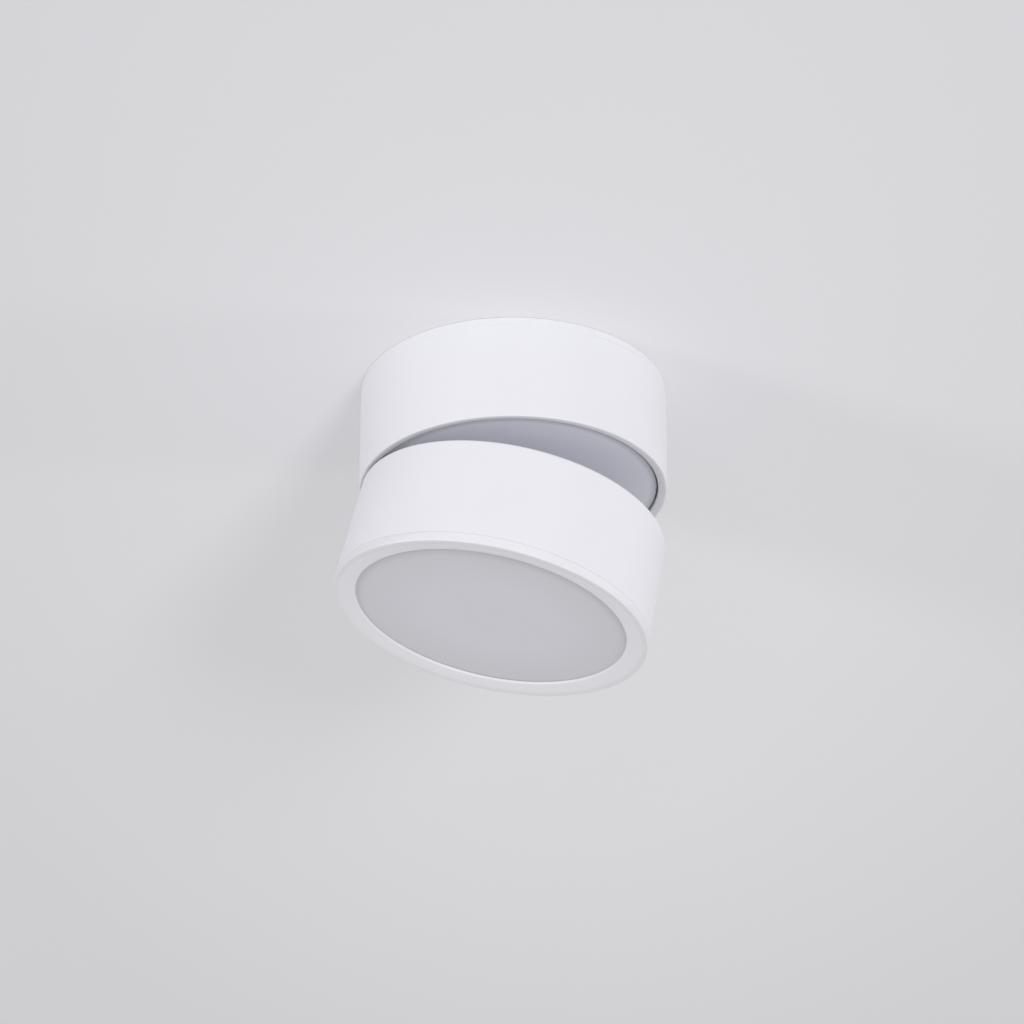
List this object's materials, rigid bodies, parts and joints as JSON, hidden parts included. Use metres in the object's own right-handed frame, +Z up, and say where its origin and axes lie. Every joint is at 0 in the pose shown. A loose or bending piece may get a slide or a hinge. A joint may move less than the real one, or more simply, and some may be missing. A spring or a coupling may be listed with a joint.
{
  "type": "adjustable ceiling light",
  "caption": "Round white surface ceiling light with a swivelling disc under its base and a short drum head that folds down on an edge hinge, with a frosted front.",
  "frame": {"origin": "centre of the ceiling plate's flat face, on the ceiling", "axes": "+Z up into the ceiling along the swivel axis, -X towards the hinge at rest, hinge pin along Y"},
  "size_m": [0.1294, 0.1236, 0.1118],
  "materials": {
    "white_coat": "satin powder coat",
    "steel": "satin",
    "brass": "satin",
    "bare_aluminium": "satin",
    "white_plastic": "matte",
    "driver_plastic": "matte",
    "nylon": "matte",
    "black_rubber": "matte",
    "silicone": "matte",
    "frosted_cover": "satin frosted",
    "led_phosphor": "satin",
    "white_board": "matte",
    "green_board": "satin",
    "ferrite": "matte",
    "capacitor_sleeve": "gloss"
  },
  "bodies": {
    "base": {"ceiling_plate": "white_coat", "cable_grommet": "black_rubber", "terminal_block": "white_plastic", "terminal_screws": "brass", "earth_screw": "brass", "base_housing": "white_coat", "housing_screws": "steel", "driver_case": "driver_plastic", "driver_lid": "driver_plastic", "driver_board": "green_board", "driver_transformer": "ferrite", "driver_capacitors": "capacitor_sleeve", "driver_screws": "steel", "thrust_washer": "nylon", "stop_pin": "steel"},
    "swivel": {"swivel_disc": "white_coat", "spindle": "steel", "cable_bush": "white_plastic", "stop_washer": "steel", "disc_spring": "steel", "spindle_nut": "steel", "hinge_arm": "white_coat", "arm_screws": "steel", "arm_bush": "brass"},
    "head": {"head_housing": "white_coat", "hinge_block": "white_coat", "block_screws": "steel", "hinge_pin": "steel", "friction_washers": "nylon", "inlet_bush": "black_rubber", "bumpers": "black_rubber", "heat_sink": "bare_aluminium", "heat_sink_screws": "steel", "led_board": "white_board", "led_chips": "led_phosphor", "led_connector": "white_plastic", "board_screws": "steel", "reflector": "white_plastic", "gasket": "silicone", "diffuser": "frosted_cover", "bezel": "white_coat"}
  },
  "joints": [
    {"name": "swivel", "type": "hinge", "parent": "base", "child": "swivel", "pos_m": [0, 0, -0.0384], "axis": [0, 0, 1], "range_deg": [-165, 165]},
    {"name": "tilt", "type": "hinge", "parent": "swivel", "child": "head", "pos_m": [-0.056, 0, -0.05], "axis": [0, 1, 0], "range_deg": [-11.5, 78.5]}
  ]
}
